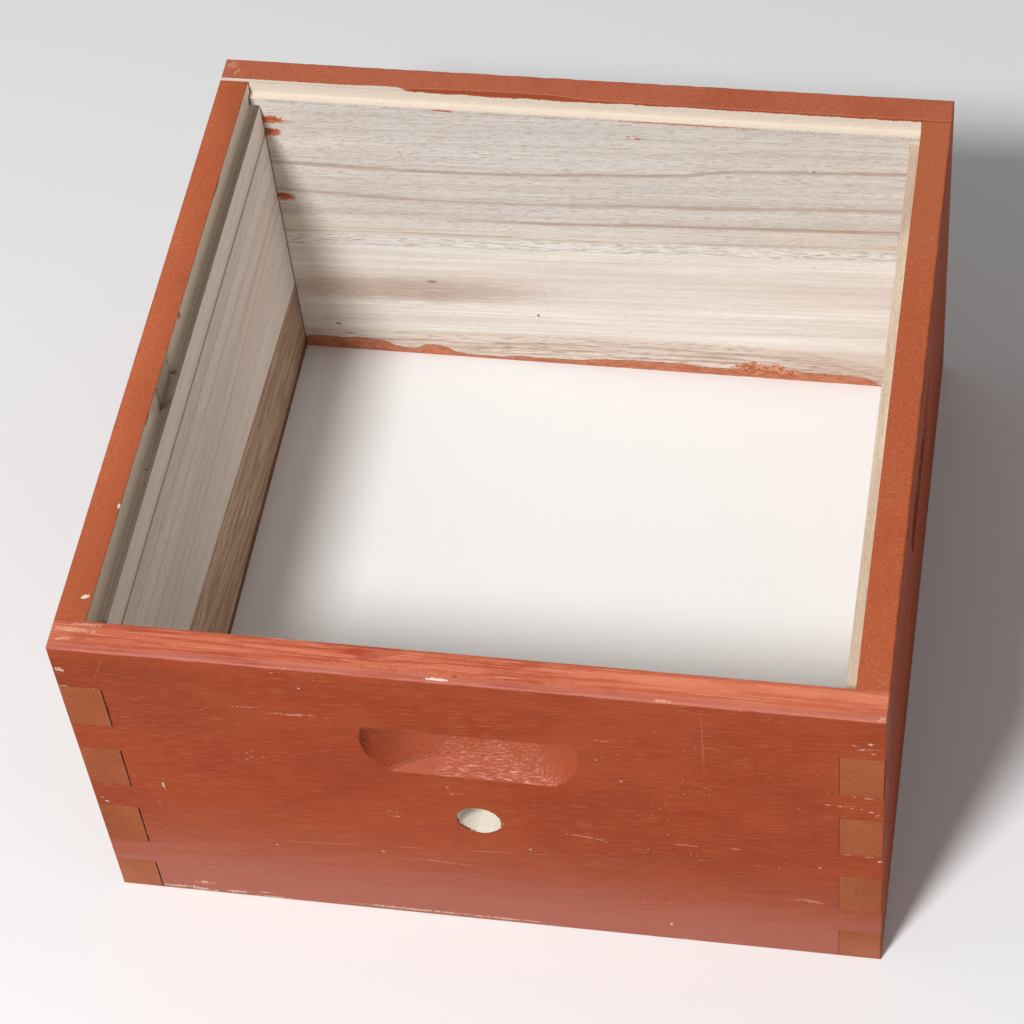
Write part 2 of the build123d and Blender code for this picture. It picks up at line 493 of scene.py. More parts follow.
def dirt_in_joints(wood):
    """Dirt in the corner joints of the left wall, and mostly paint in those of the right one."""
    face, rebate = (shoulder, frame_rest) if wood.run == "x" else (inner_y, cover_rest)
    past_corner = wood.math("SUBTRACT", wood.size(wood.along), face)
    in_comb = wood.times(wood.fade(past_corner, -0.1, 0.0), wood.fade(wood.z, 215.0, 212.0))
    under_tongue = wood.fade(past_corner, rebate - 0.15, rebate)
    uneven = wood.math("ADD", wood.spots((5.0, 5.0, 5.0), 4), wood.scale(wood.x, -1.0, 1.0, -0.13, 0.13))
    filling = wood.blend(wood.fade(uneven, 0.42, 0.56), joint_dirt, joint_paint)
    wood.lay(wood.math("MAXIMUM", in_comb, under_tongue), filling)


def rings(wood, level, lines, colour):
    """Soft lines between growth rings, given as (level, fade below, fade above, strength)."""
    for middle, below, above, strength in lines:
        lower = wood.fade(level, middle - below, middle)
        upper = wood.fade(level, middle + above, middle, 0.0, strength)
        wood.lay(wood.times(lower, upper), colour)


def growth(wood, spacing, wander, seed):
    """Growth rings one after another that wander along the plank, dark on one side."""
    level = wood.sway(wood.level, wood.grain(260.0, 60.0, seed), wander)
    step = wood.fraction(wood.times(level, 1 / spacing))
    return wood.times(wood.fade(step, 0.45, 0.95), wood.fade(step, 1.0, 0.95))


spilled_red = seen(180, 90, 56)
thin_spill = seen(178, 104, 74)
thick_spill = seen(198, 126, 94)


def paint_over_rim(wood, drop):
    """Paint that was brushed past the rim and ends raggedly on the bare wood below it."""
    below = wood.math("SUBTRACT", height, wood.z)
    edge = wood.sway(wood.sway(below, wood.spots((14.0, 14.0, 14.0), 7), 0.8), wood.torn, 0.4)
    over = wood.math("SUBTRACT", drop, edge)
    wood.lay(wood.fade(over, -0.15, 0.15), spilled_red, 0.5)


def paint_under_foot(wood, reach, thin=thin_spill, thick=thick_spill):
    """Paint that was brushed past the lower edge and ends raggedly on the bare wood above it."""
    edge = wood.sway(wood.sway(wood.z, wood.spots((16.0, 16.0, 16.0), 8), 0.6), wood.torn, 0.35)
    over = wood.math("SUBTRACT", reach, edge)
    wood.lay(wood.between(over, -0.3, 0.1, 0.5), wood.blend(0.2, thin, joint_dirt))
    lumps = wood.fade(wood.spots((6.0, 6.0, 2.5), 5), 0.35, 0.65)
    wood.lay(wood.fade(over, 0.1, 0.7), wood.blend(lumps, thin, thick), 0.55)


def finish_board(board, node, outward, side, paint, bare, ends):
    """Gives each face of a board its paint, bare wood or painted end grain, and sets it up."""
    for material in (paint, bare, ends):
        board.data.materials.append(material)
    lengthways = 1 - outward
    half = (half_width, half_depth)
    for face in board.data.polygons:
        centre = face.center / MM
        depth = half[outward] - side * centre[outward]
        end = half[lengthways] - abs(centre[lengthways])
        rim = centre.z > height - top_rounding and face.normal.z > 0.1
        outside = depth < top_rounding and side * face.normal[outward] > 0.1
        base = centre.z < bottom_rounding and face.normal.z < -0.1
        in_grip = in_grip_outline(centre[lengthways], centre.z) and depth < grip_depth
        corner = depth < corner_rounding and end < corner_rounding
        sawn_end = end < 0.05 and abs(face.normal[lengthways]) > 0.9
        painted = rim or outside or base or corner or in_grip
        face.material_index = 2 if sawn_end else 0 if painted else 1
    bpy.ops.object.shade_smooth_by_angle(angle=radians(40))
    flat = board.modifiers.new("flat_faces", "WEIGHTED_NORMAL")
    flat.keep_sharp = True
    bpy.ops.object.modifier_apply(modifier=flat.name)
    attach(board, "root")
    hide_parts(node)


front_back_finger_ends = painted_end_grain("front_and_back_finger_ends", "x", 100)
side_finger_ends = painted_end_grain("side_finger_ends", "y", 110)


def side_board(wall, side, level, paint, bare):
    """Shapes and finishes one board of the left or right wall."""
    node = f"{wall}_{level}_board"
    board = sawn_board(node)
    ease(board, eased_edge, lambda x, y, z: near(x, side * (inner_x + frame_rest)) and near(z, height))
    ease(board, eased_edge, lambda x, y, z: near(x, side * inner_x) and near(z, frame_rest_level))
    ease(board, eased_edge, lambda x, y, z: near(x, side * inner_x) and near(z, 0))
    ease(board, eased_grip, lambda x, y, z: near(x, side * half_width) and in_grip_outline(y, z))
    slice_board(board, 1)
    wear(board, rubbed_depth, rubbed_spot, lambda x, y, z: rubbed_rounding(half_width - abs(x), y, z))
    dirt_in_joints(bare)
    finish_board(board, node, 0, side, paint, bare.close(bare_gloss), side_finger_ends)


paint = red_paint("left_wall_paint", "y", 0.0, seen(193, 104, 69), 0)
inward = paint.scale(paint.x, -212.0, -199.0, 0.0, 0.35)
paint.lay(paint.times(paint.on_rim, inward), seen(150, 74, 46))
to_front = paint.fade(paint.y, -40.0, -180.0, 0.0, 0.4)
paint.lay(paint.times(paint.on_rim, to_front), seen(150, 74, 46))
white_spots = (
    (-202.0, -182.0, 2.2, 1.3, 30.0),
    (-196.5, 44.0, 0.9, 1.0, 0.0),
    (-198.5, -122.0, 1.0, 1.6, 0.0),
)
paint.lay(paint.marks(paint.rim_face, white_spots, 0.3), bare_fleck, 0.7)
left_paint = paint.close(paint_gloss)

wood = bare_wood(
    "left_upper_bare", "y", 0.0, seen(252, 244, 236), seen(240, 226, 216), seen(188, 170, 155), 10, 0.4
)
# Painted light: paler towards the front end, where light thrown up from the floor falls, darker towards the
# back.
wood.shade(wood.scale(wood.y, -100.0, 140.0, 1.0, 0.95))
wood.shade(wood.scale(wood.z, 95.0, 160.0, 0.9, 1.0))
wood.shade(wood.fade(wood.z, 194.0, 197.0, 1.0, 1.15))
old_growth_line = seen(138, 100, 74)
gentle_wave = wood.sway(wood.z, wood.grain(190.0, 60.0, 16), 0.5)
rings(wood, gentle_wave, [(193.3, 3.6, 2.0, 0.75), (198.0, 1.5, 1.5, 0.2)], old_growth_line)
broad_lines = [(176.0, 2.6, 1.6, 0.3), (158.0, 2.2, 1.4, 0.35), (140.0, 2.0, 1.4, 0.25)]
rings(wood, gentle_wave, broad_lines, seen(176, 148, 128))
rising = wood.math("SUBTRACT", wood.z, wood.times(wood.y, 0.06))
rings(wood, rising, [(118.7, 1.8, 1.2, 0.5), (131.0, 2.0, 1.4, 0.25)], seen(150, 118, 96))
pink_band = wood.between(gentle_wave, 116.0, 138.0, 18.0)
wood.lay(wood.times(pink_band, 0.2), seen(218, 190, 172))
above_ledge = wood.fade(wood.z, frame_rest_level - 0.3, frame_rest_level)
wood.lay(wood.times(above_ledge, 0.9), seen(246, 232, 212))

# Frames and bee glue have darkened the ledge, and it is graded with painted light and shade:
# pale by the riser, against the riser's shadow, and dark along its lip, against the lamp's light.
on_ledge = wood.between(wood.z, frame_rest_level - 0.3, frame_rest_level + 0.1, 0.2)
from_lip = wood.scale(wood.x, -inner_x - 2.5, -inner_x - 6.0)
ledge_dirt_and_painted_light = wood.blend(from_lip, seen(106, 92, 78), seen(232, 212, 190))
wood.lay(on_ledge, ledge_dirt_and_painted_light)
knot_streaks = wood.grain(9.0, 2.0, 17)
ledge_knot = wood.stain(wood.rim_face, (-196.5, -30.0, 7.0, 22.0), knot_streaks)
wood.lay(wood.times(ledge_knot, above_ledge, 0.5), seen(108, 92, 77))
grey_run = wood.marks(wood.rim_face, ((-193.6, -56.0, 2.6, 17.0, 0.0),), 0.6)
wood.lay(wood.times(grey_run, on_ledge, 0.4), seen(88, 78, 68))
knot_cores = ((-195.4, -40.0, 3.0, 2.8, 0.0), (-193.6, -38.0, 2.0, 4.5, 0.0), (-195.5, -16.0, 2.2, 1.8, 0.0))
cores = wood.marks(wood.rim_face, knot_cores, 0.8)
wood.lay(wood.times(cores, above_ledge, 0.75), seen(80, 66, 53))
dark_dots = ((-195.0, -85.1, 0.7, 0.8, 0.0), (-193.5, -95.0, 0.6, 0.7, 0.0), (-193.4, -82.8, 0.5, 0.6, 0.0))
dots = wood.marks(wood.rim_face, dark_dots)
wood.lay(wood.times(dots, on_ledge, 0.8), seen(70, 56, 44))
paint_over_rim(wood, 0.1)
drips = ((15.0, 228.5, 2.6, 2.2, 0.0), (-60.0, 230.0, 6.0, 1.0, 0.0), (112.0, 230.0, 9.0, 0.9, 0.0))
wood.lay(wood.marks(wood.wall_face, drips), spilled_red, 0.5)
side_board("left", -1, "upper", left_paint, wood)

left_tilt = -atan(30.0 / (2 * half_depth))
wood = bare_wood(
    "left_lower_bare", "y", left_tilt, seen(214, 188, 166), seen(180, 147, 122), seen(132, 106, 88), 20
)
wood.shade(wood.scale(wood.y, -40.0, 190.0, 1.0, 0.74))
waves = wood.sway(wood.level, wood.grain(90.0, 14.0, 26), 13.0)
left_growth = wood.math("PINGPONG", waves, 6.5)
wood.lay(wood.fade(left_growth, 2.0, 6.5, 0.0, 0.5), seen(134, 98, 72))
# The paint past the left wall's foot is dark brown: paint over the edge, darkened with painted shade.
paint_under_foot(wood, 6.0, seen(104, 60, 42), seen(122, 72, 52))
side_board("left", -1, "lower", left_paint, wood)


# Right wall: two more planks of the same pale wood, glued, notched, rebated and milled as
# the left wall is, and turned round to face it. The paint on its rim has dried duller.
paint = red_paint("right_wall_paint", "y", 0.0, seen(184, 96, 62), 30)
right_chips = ((198.0, 30.0, 0.8, 1.4, 0.0), (205.0, -40.0, 0.9, 0.9, 0.0), (200.0, 120.0, 0.8, 0.8, 0.0))
paint.lay(paint.marks(paint.rim_face, right_chips, 0.3), faded_brick, 0.6)
to_back = paint.fade(paint.y, 20.0, 170.0)
paint.lay(paint.times(paint.on_rim, to_back, 0.7), seen(187, 108, 73))
right_paint = paint.close(dull_paint_gloss)

right_tilt = atan(27.0 / (2 * half_depth))
wood = bare_wood(
    "right_upper_bare", "y", right_tilt, seen(229, 210, 187), seen(213, 190, 165), seen(170, 145, 124), 40
)
right_growth = wood.times(growth(wood, 23.0, 7.0, 46), 0.4)
wood.lay(right_growth, seen(172, 146, 126))
paint_over_rim(wood, 0.0)
side_board("right", 1, "upper", right_paint, wood)
wood = bare_wood(
    "right_lower_bare", "y", right_tilt, seen(224, 206, 188), seen(204, 182, 162), seen(160, 136, 116), 50
)
right_growth = wood.times(growth(wood, 14.0, 5.0, 56), 0.4)
wood.lay(right_growth, seen(164, 134, 112))
paint_under_foot(wood, 3.5)
side_board("right", 1, "lower", right_paint, wood)


# Back wall: two planks again, notched the other way round to lock with the side walls
# and lapping over them at the top, with a narrower rebate inside for an inner cover.
line_closed_by = 0.18
shoulder_cuts = 24
torn_shoulder_depth = 0.6
torn_shoulder_spot = 1.6
lip_cuts = 3
torn_lip_depth = 1.5
torn_lip_spot = 1.5


def end_board(wall, side, level, paint, bare, torn=None):
    """Shapes and finishes one board of the front or back wall, with more places torn if given."""
    node = f"{wall}_{level}_board"
    board = sawn_board(node)
    ease(board, eased_edge, lambda x, y, z: near(y, side * (inner_y + cover_rest)) and near(z, height))
    ease(board, eased_edge, lambda x, y, z: near(y, side * inner_y) and near(z, cover_rest_level))
    ease(board, eased_edge, lambda x, y, z: near(y, side * inner_y) and near(z, 0))
    ease(board, eased_grip, lambda x, y, z: near(y, side * half_depth) and in_grip_outline(x, z))

    # Paint has nearly closed the open line beside the fingers on the right.
    select_edges(board, lambda x, y, z: near(x, shoulder))
    bpy.ops.transform.translate(value=(line_closed_by * MM, 0, 0))
    bpy.ops.object.mode_set(mode="OBJECT")
    slice_board(board, 0)
    wear(board, rubbed_depth, rubbed_spot, lambda x, y, z: rubbed_rounding(half_depth - abs(y), x, z))

    # The saw tore the shoulders of the notches on the left, so their lines are ragged.
    def on_shoulder(x, y, z):
        return near(x, -shoulder) and near(y, side * half_depth)

    def torn_shoulder(x, y, z):
        return float(on_shoulder(x, y, z) and not at_one_of(corners, x, y, z))

    corners = split_edges(board, shoulder_cuts, on_shoulder)
    wear(board, torn_shoulder_depth, torn_shoulder_spot, torn_shoulder)
    if torn:
        split_edges(board, lip_cuts, lambda *place: torn(*place) > 0)
        wear(board, torn_lip_depth, torn_lip_spot, torn)
    dirt_in_joints(bare)
    finish_board(board, node, 1, side, paint, bare.close(bare_gloss), front_back_finger_ends)


paint = red_paint("back_wall_paint", "x", 0.0, seen(186, 103, 75), 60)
rubbed_corner = ((-210.5, 211.0, 3.5, 2.6, 30.0), (-206.0, 206.0, 3.0, 1.0, 60.0))
rubbed = paint.marks(paint.rim_face, rubbed_corner, 0.9)
paint.lay(paint.times(rubbed, paint.on_rim, 0.5), seen(214, 160, 132), 0.6)
cracked_joint = paint.marks(paint.rim_face, ((-206.5, 198.0, 9.0, 0.6, 0.0),), 0.5)
paint.lay(paint.times(cracked_joint, paint.on_rim, 0.85), seen(236, 200, 180), 0.6)

# Along the rim's inner edge the paint ends short of it on the left, and has gathered in a
# darker strip further on.
from_edge = paint.math("SUBTRACT", paint.y, inner_y + cover_rest)
from_edge = paint.sway(from_edge, paint.torn, 0.25)
bare_width = ((-192, 2.4), (-140, 2.2), (-115, 3.0), (-104, 1.0), (-97, -0.6), (192, -0.6))
in_bare = paint.math("SUBTRACT", paint.profile(paint.x, bare_width), from_edge)
bared = paint.fade(in_bare, -0.15, 0.15)
paint.lay(paint.times(bared, paint.on_rim), seen(226, 212, 196), 0.8)
strip_width = (
    (-192, -0.6), (-110, -0.6), (-98, 2.4), (-60, 3.2), (-30, 3.5), (-10, 2.8), (10, 1.1), (192, 0.9)
)
in_strip = paint.math("SUBTRACT", paint.profile(paint.x, strip_width), from_edge)
strip = paint.fade(in_strip, -0.2, 0.4)
paint.lay(paint.times(strip, paint.on_rim, 0.8), seen(158, 74, 42))
beside_strip = paint.between(in_strip, -0.8, -0.4, 0.3)
paint.lay(paint.times(beside_strip, paint.on_rim, 0.45), seen(212, 132, 102))
back_paint = paint.close(paint_gloss)

back_tilt = atan(21.0 / (2 * half_width))
back_glue_level = 106.5
wood = bare_wood(
    "back_upper_bare", "x", back_tilt, seen(233, 226, 220), seen(212, 203, 196), seen(168, 150, 136), 70, 0.6
)
growth_brown = seen(166, 135, 112)
growth_lines = (
    ((-192, 170), (-112, 169), (-51, 170.6), (22, 176), (55, 179), (87, 184.3), (107, 186), (192, 192)),
    ((-192, 146), (-99, 144.2), (-61, 145), (20, 149.7), (99, 154.2), (143, 157.6), (192, 160.8)),
    ((-192, 125), (-70, 128.7), (-24, 130), (53, 135), (98, 137.2), (143, 139.3), (192, 142.6)),
    ((-192, 110), (-87, 114.2), (19, 117.3), (52, 119.6), (113, 123.8), (192, 128)),
)
fading_left = wood.scale(wood.x, -110.0, -30.0, 0.0, 0.65)
for line, strength in zip(growth_lines, (0.6, 0.5, fading_left, 0.4)):
    line_level = wood.profile(wood.x, line)
    up_from_line = wood.math("SUBTRACT", wood.z, line_level)
    up_from_line = wood.sway(up_from_line, wood.grain(30.0, 2.0, 76), 0.9)
    rings(wood, up_from_line, ((0.0, 3.1, 1.9, strength), (3.0, 9.0, 6.0, 0.1)), growth_brown)
above_glue = wood.math("SUBTRACT", wood.level, back_glue_level)
cream_streaks = wood.fade(wood.grain(90.0, 1.6, 77), 0.42, 0.6)
cream_zone = wood.between(above_glue, 6.0, 20.0, 6.0)
wood.lay(wood.times(cream_zone, cream_streaks, 0.55), seen(236, 226, 207))
figured_zone = wood.between(above_glue, 1.0, 8.0, 3.0)
wavy = wood.grain(8.0, 0.6, 78, 2.0)
pale_figure = wood.times(figured_zone, wood.fade(wavy, 0.56, 0.36))
wood.lay(pale_figure, seen(240, 236, 232))
dark_figure = wood.times(figured_zone, wood.fade(wavy, 0.54, 0.68, 0.0, 0.65))
wood.lay(dark_figure, seen(148, 133, 123))

# The rebate is freshly cut and cream, with fibres torn over its lower edge.
fresh_cut = seen(232, 219, 203)
fuzz = wood.spots((1.1, 1.1, 5.0), 79)
edge_of_rebate = wood.sway(wood.z, fuzz, 1.3)
in_rebate = wood.fade(edge_of_rebate, cover_rest_level - 1.4, cover_rest_level - 0.9)
# Under the rebate's lower edge, a broken brown-grey line is painted shadow beneath the torn fibres.
shadowed = wood.between(edge_of_rebate, cover_rest_level - 2.4, cover_rest_level - 1.4, 0.5)
broken_line = wood.fade(wood.grain(14.0, 6.0, 74), 0.35, 0.6, 0.0, 0.45)
wood.lay(wood.times(shadowed, broken_line), seen(168, 147, 131))
wood.lay(wood.times(in_rebate, 0.9), fresh_cut, 0.8)
speckled = wood.fade(wood.spots((1.6, 1.6, 1.6), 73), 0.56, 0.7, 0.0, 0.4)
wood.lay(wood.times(in_rebate, speckled), seen(206, 186, 164))
ledge_smear = wood.marks(wood.wall_face, ((-81.0, 221.0, 7.5, 0.8, -2.0),), 0.3)
wood.lay(ledge_smear, seen(196, 112, 74), 0.5)
ledge_line = wood.marks(wood.wall_face, ((61.0, 221.4, 45.0, 0.6, 0.0),), 0.4)
wood.lay(ledge_line, seen(206, 124, 88), 0.5)
rim_run = ((-192, -1.0), (-112, -1.0), (-97, 0.4), (-60, 0.6), (-30, 0.8), (10, 0.5), (192, 0.7))
paint_over_rim(wood, wood.profile(wood.x, rim_run))
squeezed_paint = (
    (-187.0, 205.5, 9.0, 3.3, -4.0),
    (-188.0, 194.7, 7.0, 3.3, -4.0),
    (-188.0, 139.5, 7.0, 3.5, -6.0),
    (28.0, 208.6, 1.2, 0.6, 0.0),
    (33.5, 207.4, 1.8, 0.8, -10.0),
)
dragged = wood.fade(wood.grain(9.0, 0.8, 75), 0.35, 0.6)
smears = wood.marks(wood.wall_face, squeezed_paint, 0.35)
wood.lay(smears, wood.blend(dragged, seen(150, 70, 42), seen(204, 118, 82)), 0.5)
scratch = wood.marks(wood.wall_face, ((-110.0, 179.5, 7.0, 0.5, 98.0),), 0.4)
wood.lay(wood.times(scratch, 0.3), growth_brown)
dark_dot = wood.marks(wood.wall_face, ((136.6, 189.0, 1.5, 0.9, 0.0),), 0.3)
wood.lay(wood.times(dark_dot, 0.7), seen(120, 100, 86))
end_board("back", 1, "upper", back_paint, wood)

wood = bare_wood(
    "back_lower_bare", "x", back_tilt, seen(244, 239, 233), seen(223, 213, 203), seen(200, 180, 162), 80, 0.4
)
patch_streaks = wood.grain(18.0, 1.0, 86, 3.0)
patch_place = (-118.0, 61.0, 100.0, 14.0, 3.0)
brown_patch = wood.stain(wood.wall_face, patch_place, patch_streaks)
in_streaks = wood.fade(patch_streaks, 0.3, 0.6, 0.4, 1.0)
wood.lay(wood.times(brown_patch, in_streaks), seen(180, 154, 135))
knot = wood.marks(wood.wall_face, ((-103.0, 70.0, 3.4, 1.3, 0.0),), 0.4)
wood.lay(knot, seen(124, 100, 86))
soft_band = wood.between(wood.level, 68.0, 80.0, 10.0)
wood.lay(wood.times(soft_band, 0.3), seen(214, 194, 179))
low_line = ((-192, 19), (-115, 23), (-30, 27.5), (52, 31), (100, 31), (150, 25), (192, 14))
line_level = wood.profile(wood.x, low_line)
over_line = wood.math("SUBTRACT", wood.z, line_level)
wood.lay(wood.fade(over_line, 1.0, -3.0, 0.0, 0.5), seen(208, 187, 170))
foot_streaks = wood.sway(over_line, wood.grain(70.0, 3.0, 87), 2.5)
foot_lines = ((-9.0, 2.4, 1.2, 0.5), (-14.0, 2.0, 1.2, 0.55), (-19.0, 2.0, 1.0, 0.6))
rings(wood, foot_streaks, foot_lines, seen(160, 128, 106))
low_down = wood.between(wood.z, 8.0, 28.0, 8.0)
brown_foot = wood.times(low_down, wood.fade(wood.x, 90.0, 150.0))
wood.lay(wood.times(brown_foot, 0.45), seen(188, 160, 140))
dashes = wood.fade(wood.grain(11.0, 0.7, 88), 0.52, 0.68, 0.0, 0.7)
dashed_foot = wood.fade(over_line, 1.0, -5.0)
wood.lay(wood.times(dashes, dashed_foot), seen(154, 118, 95))
lean = wood.times(wood.z, 0.1175)
crack_place = wood.math("ADD", wood.x, lean, 24.0)
crack_place = wood.sway(crack_place, wood.spots((9.0, 9.0, 9.0), 89), 0.8)
crack = wood.fade(wood.size(crack_place), 0.6, 0.2)
crack_run = wood.between(wood.z, 46.0, 96.0, 8.0)
wood.lay(wood.times(crack, crack_run, 0.14), seen(190, 160, 136))
red_dots = ((-37.0, 45.0, 1.1, 1.1, 0.0), (-168.0, 24.0, 2.4, 0.8, 0.0))
wood.lay(wood.marks(wood.wall_face, red_dots, 0.3), spilled_red, 0.5)
foot_edge = (
    (-192, 8), (-157, 10.8), (-143, 10.6), (-122, 4), (-110, 9.2), (-91, 3.2), (-70, 2.4), (-45, 4),
    (-19, 4.4), (0, 6.4), (51, 8.2), (70, 6.8), (126, 7.5), (146, 8.2), (171, 4.8), (178, 0.5), (192, -2),
)
foot_lumps = ((98.0, 8.5, 13.0, 6.4, 0.0), (112.0, 9.5, 7.0, 4.8, 0.0), (122.0, 7.5, 6.0, 3.0, 0.0))
lumps = wood.marks(wood.wall_face, foot_lumps, 0.35)
rough_lumps = wood.fade(wood.spots((2.4, 2.4, 1.6), 84), 0.35, 0.65)
lump_colour = wood.blend(rough_lumps, seen(160, 86, 58), seen(216, 150, 116))
paint_under_foot(wood, wood.profile(wood.x, foot_edge))
wood.lay(lumps, lump_colour, 0.5)
end_board("back", 1, "lower", back_paint, wood)


# Front wall: as the back wall, with the round flight hole below its handhold. It has had
# the most handling, so its paint is scuffed and the top of it is rubbed thin.
front_tilt = atan(36.0 / (2 * half_width))
front_glue_level = 73.0
hole_level = 104.0
hole_radius = 12.0
drill_pitch = 1.9
paint = red_paint("front_wall_paint", "x", front_tilt, seen(202, 109, 80), 90)

# The foot of the wall is painted greyish pink: a painted reflection of the pale ground in the satin paint,
# strongest low down.
reflection_level = paint.sway(paint.z, paint.grain(60.0, 5.0, 93), 8.0)
reflection_level = paint.math("ADD", reflection_level, paint.scale(paint.x, 0.0, 200.0, 0.0, 8.0))
reflection_by_height = ((4, 0.72), (30, 0.56), (42, 0.42), (55, 0.24), (75, 0.1), (100, 0.0))
paint.lay(paint.profile(reflection_level, reflection_by_height), seen(175, 111, 96))
darker_corner = paint.times(paint.fade(paint.x, -50.0, -170.0), paint.between(paint.z, 172.0, 214.0, 15.0))
paint.shade(paint.fade(darker_corner, 0.0, 1.0, 1.0, 0.9))

# The rim is rubbed into pale and deep streaks, and greyish pink along its outer edge, where rubbed paint
# also carries a painted highlight.
on_rim = paint.on_rim
rim_streaks = paint.spots((55.0, 2.2, 8.0), 94, 4.0)
rim_hairs = paint.spots((26.0, 0.6, 6.0), 95)
deep_streaks = paint.fade(rim_streaks, 0.5, 0.38, 0.0, 0.75)
paint.lay(paint.times(on_rim, deep_streaks), seen(172, 71, 50))
smudges = paint.fade(paint.spots((38.0, 10.0, 10.0), 97), 0.48, 0.62, 0.0, 0.75)
paint.lay(paint.times(on_rim, smudges), seen(168, 70, 50))
pale_streaks = paint.fade(rim_streaks, 0.52, 0.66, 0.0, 0.65)
paint.lay(paint.times(on_rim, pale_streaks), seen(218, 126, 96))
to_left = paint.fade(paint.x, -60.0, -190.0, 0.0, 0.35)
paint.lay(paint.times(on_rim, to_left), seen(184, 92, 66))
to_right = paint.fade(paint.x, 20.0, 120.0)
paint.lay(paint.times(on_rim, to_right, 0.4), seen(228, 132, 98))
bright_row = paint.between(paint.depth, 12.5, 14.5, 2.0)
paint.lay(paint.times(on_rim, to_right, bright_row, 0.4), seen(234, 140, 106))
deep_row = paint.between(paint.depth, 5.5, 7.0, 1.5)
paint.lay(paint.times(on_rim, to_right, deep_row, 0.4), seen(178, 84, 56))
inner_edge = paint.fade(paint.depth, 15.5, 18.0, 0.0, 0.6)
paint.lay(paint.times(on_rim, inner_edge), seen(168, 80, 52))
pale_hairs = paint.fade(rim_hairs, 0.55, 0.7, 0.0, 0.5)
paint.lay(paint.times(on_rim, pale_hairs), seen(232, 164, 136))
outer_edge = paint.fade(paint.depth, 4.8, 3.0)
near_edge = paint.times(outer_edge, paint.fade(paint.z, height - 1.2, height - 0.7))
edge_wear_and_highlight = paint.fade(rim_hairs, 0.35, 0.65, 0.3, 0.85)
paint.lay(paint.times(near_edge, edge_wear_and_highlight), seen(184, 111, 96), 0.42)
# Pale bared spots on the rim; the one at 103 mm on the outer edge is partly a painted glint.
bared_rim = (
    (103.0, -214.6, 4.0, 0.7, 0.0),
    (213.0, -214.0, 2.0, 1.6, 30.0),
    (-203.0, -203.5, 11.0, 1.2, 0.0),
    (-197.0, -199.5, 7.0, 0.7, 0.0),
    (-206.0, -209.0, 6.0, 0.8, 10.0),
)
bared = paint.marks(paint.rim_face, bared_rim, 0.9)
paint.lay(paint.times(bared, on_rim, 0.5), seen(230, 180, 154), 0.6)
# A near-white rub on the outer edge, partly a painted glint.
white_rub_and_glint = paint.marks(paint.rim_face, ((-10.7, -214.0, 6.6, 0.9, 0.0),), 0.35)
paint.lay(paint.times(white_rub_and_glint, on_rim, 0.95), seen(248, 226, 212), 0.6)
rim_fleck = paint.marks(paint.rim_face, ((-1.6, -211.3, 1.5, 0.9, 0.0),), 0.3)
paint.lay(paint.times(rim_fleck, on_rim, 0.8), seen(150, 80, 58))
thumb_mark = paint.marks(paint.rim_face, ((-198.5, -207.0, 6.0, 3.0, 0.0),), 0.6)
paint.lay(paint.times(thumb_mark, on_rim, 0.6), seen(170, 88, 62))

# The glue line shows through the paint, and the face is chipped, scuffed and scratched.
from_seam = paint.away_from(paint.level, front_glue_level)
broken = paint.fade(paint.grain(20.0, 6.0, 96), 0.42, 0.62)
seam_reach = paint.between(paint.x, -120.0, 25.0, 14.0)
seam = paint.times(paint.fade(from_seam, 0.5, 0.15), broken, seam_reach)
paint.lay(paint.times(seam, 0.45), seen(206, 140, 116))
chips = (
    (-211.0, 212.0, 2.2, 1.5, -20.0),
    (-212.0, 197.3, 2.6, 0.4, 0.0),
    (-196.0, 196.9, 2.0, 0.3, 0.0),
    (-173.0, 109.0, 2.6, 0.6, 94.0),
    (-84.0, 214.6, 0.9, 0.5, 0.0),
    (-210.5, 91.0, 1.8, 0.35, -20.0),
    (-208.5, 87.3, 1.6, 0.7, -20.0),
    (-202.0, 27.0, 6.0, 0.4, 0.0),
    (-117.0, 59.0, 0.9, 0.5, 0.0),
    (-57.0, 62.8, 0.9, 0.6, 0.0),
    (207.0, 210.5, 1.8, 0.9, 0.0),
    (203.0, 205.0, 2.4, 0.3, 10.0),
    (208.5, 202.5, 1.6, 0.35, 0.0),
    (199.5, 208.5, 1.8, 0.3, 0.0),
    (186.0, 152.0, 1.6, 0.3, -6.0),
    (192.0, 151.6, 0.7, 0.5, 0.0),
    (198.0, 150.6, 0.8, 0.4, 0.0),
    (203.5, 150.4, 0.6, 0.4, 0.0),
    (208.5, 148.5, 1.2, 0.5, -10.0),
    (211.0, 146.0, 1.0, 0.7, 0.0),
    (199.0, 161.8, 1.4, 0.35, 0.0),
    (207.0, 161.2, 2.0, 0.25, 0.0),
    (196.0, 105.4, 2.4, 0.25, 0.0),
    (208.0, 105.0, 2.0, 0.25, 0.0),
    (182.0, 90.0, 0.9, 0.6, 0.0),
    (213.0, 101.6, 1.0, 0.9, 0.0),
    (26.0, 80.0, 0.9, 0.6, 0.0),
    (100.0, 16.0, 0.8, 1.2, 0.0),
    (79.0, 156.0, 0.8, 0.5, 0.0),
    (32.0, 125.0, 0.8, 0.5, 0.0),
    (-166.0, 10.9, 2.0, 1.1, 0.0),
)
chipped = paint.marks(paint.wall_face, chips, 0.9)
paint.lay(paint.times(chipped, 0.6), bare_fleck, 0.7)
foot_chips = (
    (-181.0, 3.6, 9.0, 0.9, 3.0),
    (-169.0, 3.2, 8.0, 1.2, -7.0),
    (-148.0, 3.6, 5.0, 1.0, 0.0),
    (-131.0, 5.6, 3.0, 0.6, 0.0),
    (-127.0, 1.9, 9.0, 0.5, 0.0),
    (-46.0, 3.8, 30.0, 0.9, 0.0),
    (6.0, 3.6, 22.0, 0.7, 0.0),
)
flaked = paint.marks(paint.wall_face, foot_chips, 1.0)
paint.lay(paint.times(flaked, 0.75), seen(208, 190, 170), 0.7)
